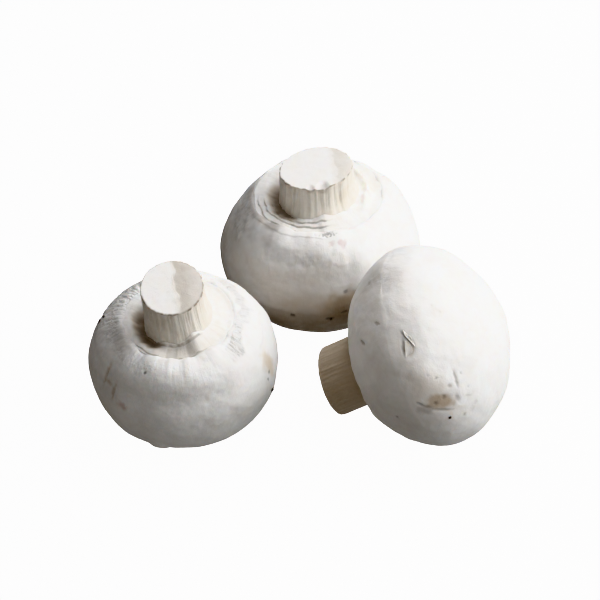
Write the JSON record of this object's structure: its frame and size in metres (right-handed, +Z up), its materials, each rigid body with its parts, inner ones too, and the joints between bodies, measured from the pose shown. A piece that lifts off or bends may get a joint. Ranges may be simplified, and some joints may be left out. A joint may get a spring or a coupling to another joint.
{
  "type": "cup mushrooms",
  "caption": "Whole closed-cup mushrooms resting loosely together on a table, stem up or on the side, as food produce.",
  "frame": {"origin": "on the table, at the middle of the group's outline", "axes": "+Z up from the table; +X along the group's longest side, from the left mushroom to the right one; +Y to the back"},
  "size_m": [0.112, 0.1052, 0.0508],
  "materials": {
    "cap_skin": "matte",
    "stem_flesh": "matte",
    "veil": "matte"
  },
  "bodies": {
    "root": {"left_cap": "cap_skin", "left_stem": "stem_flesh", "left_veil": "veil", "rear_cap": "cap_skin", "rear_stem": "stem_flesh", "rear_veil": "veil", "right_cap": "cap_skin", "right_stem": "stem_flesh", "right_veil": "veil"}
  },
  "joints": []
}
